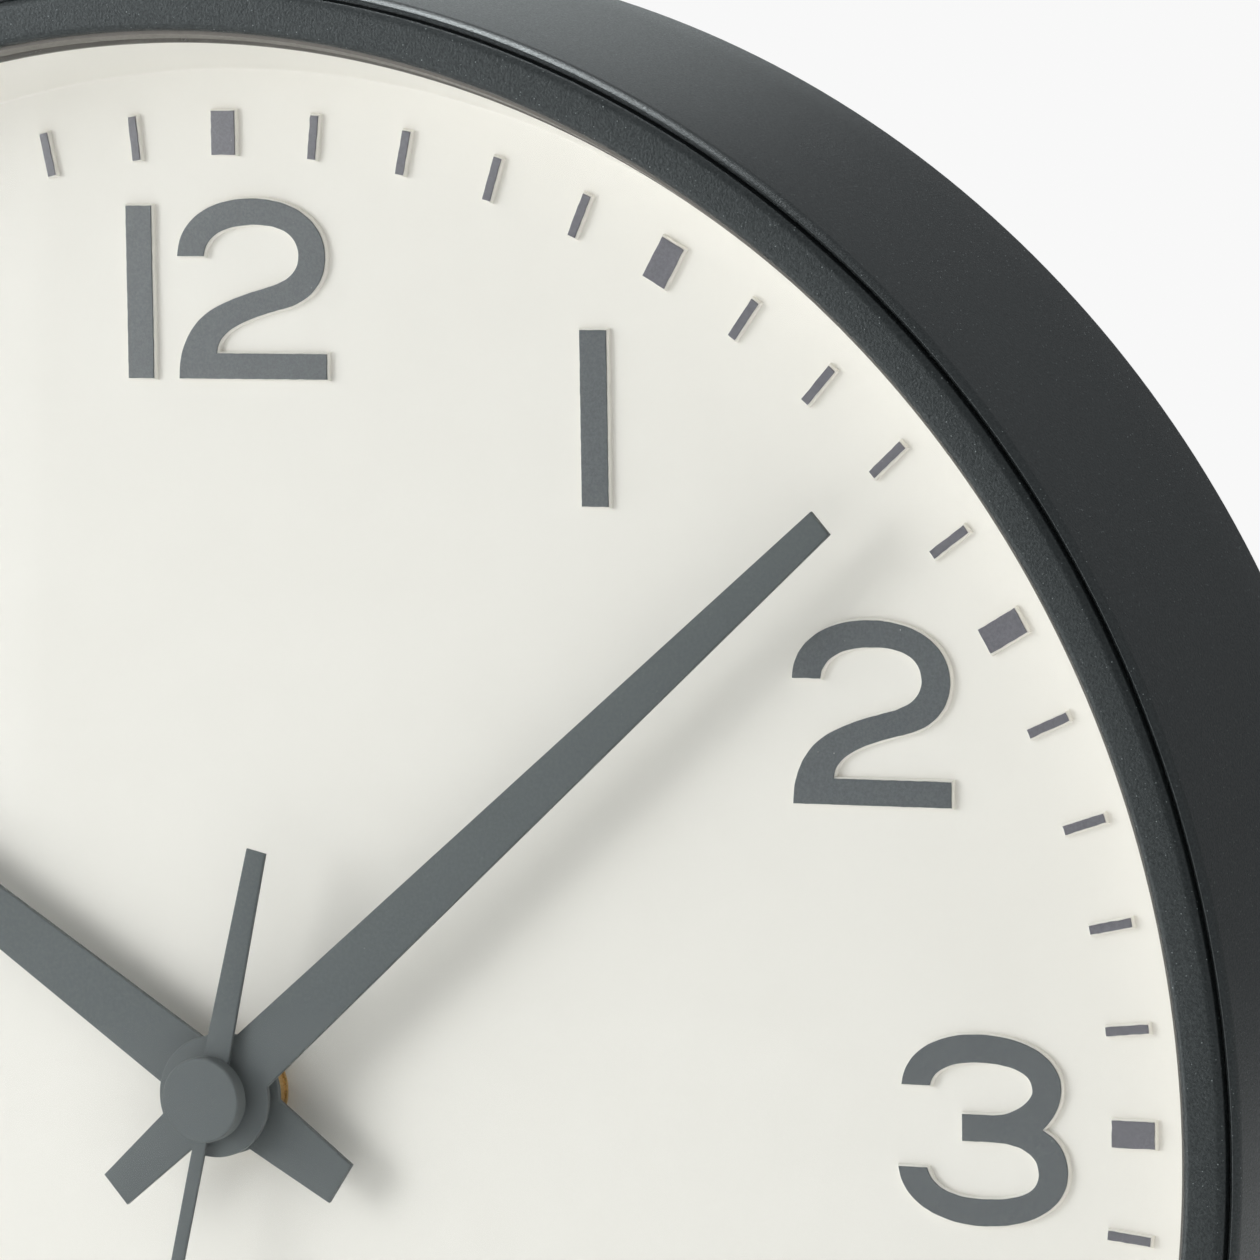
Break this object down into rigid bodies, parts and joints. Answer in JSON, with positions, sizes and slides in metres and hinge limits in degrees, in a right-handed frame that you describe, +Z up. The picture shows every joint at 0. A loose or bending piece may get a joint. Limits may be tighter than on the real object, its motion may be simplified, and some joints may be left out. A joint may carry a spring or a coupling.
{
  "type": "wall clock",
  "caption": "Round wall clock with a deep drum case, bezel and lens, a cream dial with raised grey figures, flat tapered hands, and a battery quartz movement behind the dial.",
  "frame": {"origin": "the hand axis where it meets the wall plane, at the back edge of the drum", "axes": "+Z up to twelve, +Y into the wall, so the dial faces -Y, and +X to three o'clock"},
  "size_m": [0.26, 0.0442, 0.26],
  "materials": {
    "charcoal_shell": "fine-grained matt charcoal coating",
    "clear_lens": "clear polished acrylic",
    "taupe_gasket": "smooth taupe channel rubber",
    "cream_dial": "smooth matt warm-white moulding",
    "grey_print": "hot-stamped grey foil",
    "hand_lacquer": "matt grey lacquer on aluminium",
    "brass": "turned brass",
    "black_rubber": "soft black rubber",
    "movement_plastic": "fine-sparked black moulding",
    "zinc_steel": "bright zinc plate",
    "spring_steel": "nickel-plated spring steel",
    "soft_iron": "dull stamped iron",
    "white_acetal": "natural white acetal",
    "copper_wire": "enamelled copper wire",
    "green_board": "green solder mask",
    "black_epoxy": "glossy black epoxy drop",
    "battery_wrap": "plain printed sleeve with no lettering",
    "cover_plastic": "grained black moulding"
  },
  "bodies": {
    "housing": {"case": "charcoal_shell", "bezel": "charcoal_shell", "lens": "clear_lens", "lens_gasket": "taupe_gasket", "dial": "cream_dial", "numeral_print": "grey_print", "minute_mark_print": "grey_print", "fixing_nut": "brass", "dial_washer": "brass", "cushion_washer": "black_rubber", "movement_front": "movement_plastic", "movement_back": "movement_plastic", "movement_screws": "zinc_steel", "threaded_bushing": "brass", "train_bridge": "zinc_steel", "middle_plate": "zinc_steel", "bridge_pillars": "zinc_steel", "stator": "soft_iron", "coil_core": "soft_iron", "coil_bobbin": "white_acetal", "coil_winding": "copper_wire", "circuit_board": "green_board", "timing_chip": "black_epoxy", "quartz_crystal": "zinc_steel", "battery": "battery_wrap", "battery_positive_contact": "spring_steel", "battery_negative_spring": "spring_steel", "rear_cover": "cover_plastic", "cover_screws": "zinc_steel", "hanger_plate": "zinc_steel", "hanger_screws": "zinc_steel", "wall_pads": "black_rubber"},
    "second_hand": {"second_hand": "hand_lacquer", "second_hand_tube": "brass", "second_hand_cap": "hand_lacquer", "second_wheel": "white_acetal"},
    "minute_hand": {"minute_hand": "hand_lacquer", "minute_hand_bush": "brass", "cannon_pinion": "white_acetal", "clutch_spring": "spring_steel"},
    "hour_hand": {"hour_hand": "hand_lacquer", "hour_hand_bush": "brass", "hour_wheel": "white_acetal"},
    "centre_wheel": {"centre_wheel": "white_acetal"},
    "third_wheel": {"third_wheel": "white_acetal"},
    "intermediate_wheel": {"intermediate_wheel": "white_acetal"},
    "rotor": {"rotor_pinion": "white_acetal", "rotor_magnet": "soft_iron"},
    "minute_wheel": {"minute_wheel": "white_acetal"},
    "setting_knob": {"setting_knob": "white_acetal", "setting_pinion": "white_acetal"}
  },
  "joints": [
    {"name": "second_hand_turn", "type": "hinge", "parent": "housing", "child": "second_hand", "pos_m": [0, -0.03, 0], "axis": [0, 1, 0], "continuous": true},
    {"name": "minute_hand_turn", "type": "hinge", "parent": "housing", "child": "minute_hand", "pos_m": [0, -0.03, 0], "axis": [0, 1, 0], "continuous": true},
    {"name": "hour_hand_turn", "type": "hinge", "parent": "housing", "child": "hour_hand", "pos_m": [0, -0.03, 0], "axis": [0, 1, 0], "continuous": true},
    {"name": "centre_wheel_turn", "type": "hinge", "parent": "housing", "child": "centre_wheel", "pos_m": [0, -0.0172, 0], "axis": [0, 1, 0], "continuous": true},
    {"name": "third_wheel_turn", "type": "hinge", "parent": "housing", "child": "third_wheel", "pos_m": [-0.00612, -0.0148, 0.0106], "axis": [0, 1, 0], "continuous": true},
    {"name": "intermediate_wheel_turn", "type": "hinge", "parent": "housing", "child": "intermediate_wheel", "pos_m": [-0.00987, -0.0114, -0.00359], "axis": [0, 1, 0], "continuous": true},
    {"name": "rotor_turn", "type": "hinge", "parent": "housing", "child": "rotor", "pos_m": [-0.01887, -0.013, -0.00359], "axis": [0, 1, 0], "continuous": true},
    {"name": "minute_wheel_turn", "type": "hinge", "parent": "housing", "child": "minute_wheel", "pos_m": [0.01128, -0.0188, 0.0041], "axis": [0, 1, 0], "continuous": true},
    {"name": "setting_knob_turn", "type": "hinge", "parent": "housing", "child": "setting_knob", "pos_m": [0.02111, -0.01, -0.00278], "axis": [0, 1, 0], "continuous": true}
  ],
  "couplings": [
    {"joint": "intermediate_wheel_turn", "follows": "second_hand_turn", "ratio": -6},
    {"joint": "rotor_turn", "follows": "second_hand_turn", "ratio": 30},
    {"joint": "third_wheel_turn", "follows": "second_hand_turn", "ratio": -0.13333},
    {"joint": "centre_wheel_turn", "follows": "second_hand_turn", "ratio": 0.016667},
    {"joint": "minute_wheel_turn", "follows": "minute_hand_turn", "ratio": -0.33333},
    {"joint": "hour_hand_turn", "follows": "minute_hand_turn", "ratio": 0.083333},
    {"joint": "setting_knob_turn", "follows": "minute_hand_turn", "ratio": 1}
  ]
}
